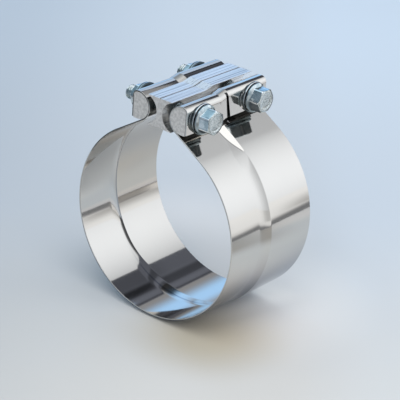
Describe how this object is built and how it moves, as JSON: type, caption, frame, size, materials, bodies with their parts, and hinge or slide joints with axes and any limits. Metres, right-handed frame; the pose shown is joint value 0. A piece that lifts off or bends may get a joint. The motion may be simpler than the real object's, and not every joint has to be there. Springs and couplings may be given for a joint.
{
  "type": "exhaust seal clamp",
  "caption": "Stepped exhaust lap-joint clamp: a polished sheet band closed round the pipe joint by bolts through D-section bars and a split reaction block.",
  "frame": {"origin": "on the axis of the pipes, at the foot of the step, where the small pipe seat ends", "axes": "+Y along the pipe axis towards the large pipe, +Z from the axis to the bolts, +X along the bolts towards their heads"},
  "size_m": [0.1324, 0.077, 0.1535],
  "materials": {
    "polished_stainless": "mirror polished sheet",
    "drawn_steel": "drawn bar, sawn at the ends",
    "zinc_plated_steel": "bright zinc with a blue tint"
  },
  "bodies": {
    "clamp": {"band": "polished_stainless", "head_side_bar": "drawn_steel", "nut_side_bar": "drawn_steel", "head_side_block_half": "drawn_steel", "nut_side_block_half": "drawn_steel", "small_end_nut_washer": "zinc_plated_steel", "small_end_nut": "zinc_plated_steel", "large_end_nut_washer": "zinc_plated_steel", "large_end_nut": "zinc_plated_steel"},
    "small_end_washer": {"small_end_head_washer": "zinc_plated_steel"},
    "small_end_bolt": {"small_end_bolt": "zinc_plated_steel"},
    "large_end_washer": {"large_end_head_washer": "zinc_plated_steel"},
    "large_end_bolt": {"large_end_bolt": "zinc_plated_steel"}
  },
  "joints": [
    {"name": "small_end_bolt_travel", "type": "slide", "parent": "clamp", "child": "small_end_washer", "axis": [1, 0, 0], "range_m": [0, 0.0127]},
    {"name": "small_end_bolt_turn", "type": "hinge", "parent": "small_end_washer", "child": "small_end_bolt", "pos_m": [0, -0.0181, 0.0754], "axis": [1, 0, 0], "range_deg": [0, 2880]},
    {"name": "large_end_bolt_travel", "type": "slide", "parent": "clamp", "child": "large_end_washer", "axis": [1, 0, 0], "range_m": [0, 0.0127]},
    {"name": "large_end_bolt_turn", "type": "hinge", "parent": "large_end_washer", "child": "large_end_bolt", "pos_m": [0, 0.0311, 0.07715], "axis": [1, 0, 0], "range_deg": [0, 2880]}
  ],
  "couplings": [
    {"joint": "small_end_bolt_turn", "follows": "small_end_bolt_travel", "rad_per_m": 3957.9},
    {"joint": "large_end_bolt_turn", "follows": "large_end_bolt_travel", "rad_per_m": 3957.9}
  ]
}
